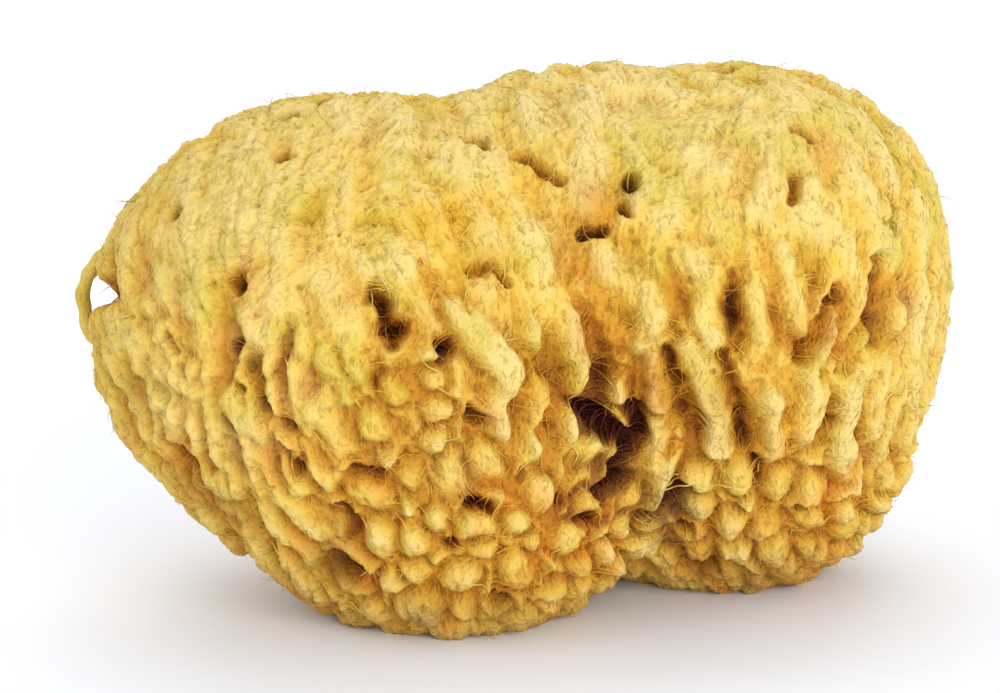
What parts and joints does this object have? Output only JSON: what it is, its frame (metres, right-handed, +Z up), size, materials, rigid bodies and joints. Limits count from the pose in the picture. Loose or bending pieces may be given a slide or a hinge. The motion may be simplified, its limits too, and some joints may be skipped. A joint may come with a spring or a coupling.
{
  "type": "natural sea sponge",
  "caption": "Dried natural bath sponge of grown-together lobes, with a strand-like skin, round knobs low on the front, sunken mouths and a flat cut base to rest on.",
  "frame": {"origin": "middle of the bounding box's bottom, at the height of the flat cut base", "axes": "+X along the lobes towards the taller right one, +Y away from the front with the main hole, +Z up"},
  "size_m": [0.1424, 0.0996, 0.0858],
  "materials": {
    "spongin": "dry golden fibre, matte"
  },
  "bodies": {
    "root": {"sponge": "spongin"}
  },
  "joints": []
}
